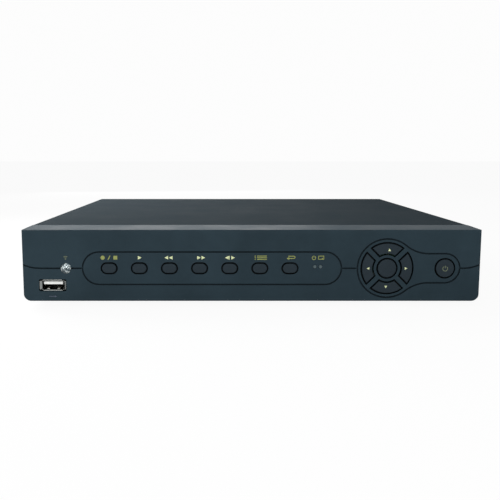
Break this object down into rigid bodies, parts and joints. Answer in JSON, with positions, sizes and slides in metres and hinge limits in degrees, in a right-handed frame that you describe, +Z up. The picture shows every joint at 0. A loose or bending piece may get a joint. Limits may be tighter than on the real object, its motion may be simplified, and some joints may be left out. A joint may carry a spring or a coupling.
{
  "type": "dvr recorder",
  "caption": "Slim desktop video recorder: wide plastic bezel with oval keys, a round direction pad and a USB socket, sheet-steel case, rear jacks.",
  "frame": {"origin": "on the surface that the feet stand on, under the middle of the object's box", "axes": "+X to the right as seen from the front, the longest extent; +Y from the bezel to the rear panel; +Z up, the shortest extent"},
  "size_m": [0.26, 0.251, 0.0454],
  "materials": {
    "bezel_plastic": "satin moulded plastic",
    "key_plastic": "satin moulded plastic",
    "clear_lens": "clear",
    "receiver_plastic": "metallised",
    "lamp_plastic": "clear grey",
    "socket_steel": "bright plated",
    "socket_plastic": "matte black",
    "tongue_plastic": "white",
    "circuit_board": "solder mask",
    "screw_steel": "zinc plated",
    "switch_plastic": "matte",
    "cover_paint": "fine textured paint",
    "tray_zinc": "zinc-coated sheet",
    "panel_paint": "fine textured paint",
    "foot_rubber": "matte",
    "drive_casting": "cast",
    "drive_lid_steel": "brushed",
    "standoff_brass": "turned",
    "chip_epoxy": "matte",
    "sink_aluminium": "anodised",
    "capacitor_sleeve": "shrink sleeve",
    "cell_steel": "bright",
    "holder_plastic": "matte",
    "jack_nickel": "nickel plated",
    "dielectric": "matte white",
    "audio_plastic": "matte ivory",
    "vga_plastic": "matte blue",
    "lan_plastic": "matte black",
    "terminal_plastic": "matte green",
    "pin_brass": "turned",
    "fan_plastic": "matte black",
    "ribbon_sleeve": "matte grey",
    "data_sleeve": "matte red",
    "supply_sleeve": "matte black",
    "symbol_ink": "printed symbols, pale yellow"
  },
  "bodies": {
    "recorder": {"front_bezel": "bezel_plastic", "ir_lens": "clear_lens", "ir_receiver": "receiver_plastic", "status_leds": "lamp_plastic", "front_usb_shell": "socket_steel", "rear_usb_shell": "socket_steel", "vga_shell": "socket_steel", "usb_tongues": "tongue_plastic", "bnc_bodies": "socket_plastic", "audio_bodies": "socket_plastic", "power_jack": "socket_plastic", "front_board": "circuit_board", "main_board": "circuit_board", "drive_board": "circuit_board", "front_board_screws": "screw_steel", "side_screws": "screw_steel", "rear_screws": "screw_steel", "drive_screws": "screw_steel", "board_screws": "screw_steel", "tact_switches": "switch_plastic", "top_cover": "cover_paint", "chassis_tray": "tray_zinc", "rear_panel": "panel_paint", "rubber_feet": "foot_rubber", "drive_case": "drive_casting", "drive_lid": "drive_lid_steel", "board_standoffs": "standoff_brass", "processor": "chip_epoxy", "board_chips": "chip_epoxy", "heatsink": "sink_aluminium", "capacitors": "capacitor_sleeve", "coin_cell": "cell_steel", "coin_cell_holder": "holder_plastic", "bnc_shells": "jack_nickel", "audio_shells": "jack_nickel", "vga_posts": "jack_nickel", "bnc_inserts": "dielectric", "audio_inserts": "audio_plastic", "vga_insert": "vga_plastic", "lan_jack": "lan_plastic", "terminal_block": "terminal_plastic", "power_pin": "pin_brass", "fan_frame": "fan_plastic", "ribbon_cable": "ribbon_sleeve", "sata_cable": "data_sleeve", "supply_cable": "supply_sleeve"},
    "key_record": {"key_record": "key_plastic"},
    "key_play": {"key_play": "key_plastic"},
    "key_rewind": {"key_rewind": "key_plastic"},
    "key_forward": {"key_forward": "key_plastic"},
    "key_frame": {"key_frame": "key_plastic"},
    "key_menu": {"key_menu": "key_plastic"},
    "key_escape": {"key_escape": "key_plastic"},
    "key_right": {"key_right": "key_plastic"},
    "key_up": {"key_up": "key_plastic"},
    "key_left": {"key_left": "key_plastic"},
    "key_down": {"key_down": "key_plastic"},
    "key_enter": {"key_enter": "key_plastic"},
    "key_power": {"key_power": "key_plastic"},
    "fan_rotor": {"fan_rotor": "fan_plastic"}
  },
  "joints": [
    {"name": "press_record", "type": "slide", "parent": "recorder", "child": "key_record", "axis": [0, 1, 0], "range_m": [0, 0.0005], "stiffness_N_per_m": 1000},
    {"name": "press_play", "type": "slide", "parent": "recorder", "child": "key_play", "axis": [0, 1, 0], "range_m": [0, 0.0005], "stiffness_N_per_m": 1000},
    {"name": "press_rewind", "type": "slide", "parent": "recorder", "child": "key_rewind", "axis": [0, 1, 0], "range_m": [0, 0.0005], "stiffness_N_per_m": 1000},
    {"name": "press_forward", "type": "slide", "parent": "recorder", "child": "key_forward", "axis": [0, 1, 0], "range_m": [0, 0.0005], "stiffness_N_per_m": 1000},
    {"name": "press_frame", "type": "slide", "parent": "recorder", "child": "key_frame", "axis": [0, 1, 0], "range_m": [0, 0.0005], "stiffness_N_per_m": 1000},
    {"name": "press_menu", "type": "slide", "parent": "recorder", "child": "key_menu", "axis": [0, 1, 0], "range_m": [0, 0.0005], "stiffness_N_per_m": 1000},
    {"name": "press_escape", "type": "slide", "parent": "recorder", "child": "key_escape", "axis": [0, 1, 0], "range_m": [0, 0.0005], "stiffness_N_per_m": 1000},
    {"name": "press_right", "type": "slide", "parent": "recorder", "child": "key_right", "axis": [0, 1, 0], "range_m": [0, 0.0005], "stiffness_N_per_m": 1000},
    {"name": "press_up", "type": "slide", "parent": "recorder", "child": "key_up", "axis": [0, 1, 0], "range_m": [0, 0.0005], "stiffness_N_per_m": 1000},
    {"name": "press_left", "type": "slide", "parent": "recorder", "child": "key_left", "axis": [0, 1, 0], "range_m": [0, 0.0005], "stiffness_N_per_m": 1000},
    {"name": "press_down", "type": "slide", "parent": "recorder", "child": "key_down", "axis": [0, 1, 0], "range_m": [0, 0.0005], "stiffness_N_per_m": 1000},
    {"name": "press_enter", "type": "slide", "parent": "recorder", "child": "key_enter", "axis": [0, 1, 0], "range_m": [0, 0.0005], "stiffness_N_per_m": 1000},
    {"name": "press_power", "type": "slide", "parent": "recorder", "child": "key_power", "axis": [0, 1, 0], "range_m": [0, 0.0005], "stiffness_N_per_m": 1000},
    {"name": "fan_spin", "type": "hinge", "parent": "recorder", "child": "fan_rotor", "pos_m": [0.104, 0.10645, 0.021], "axis": [0, 1, 0], "continuous": true}
  ]
}
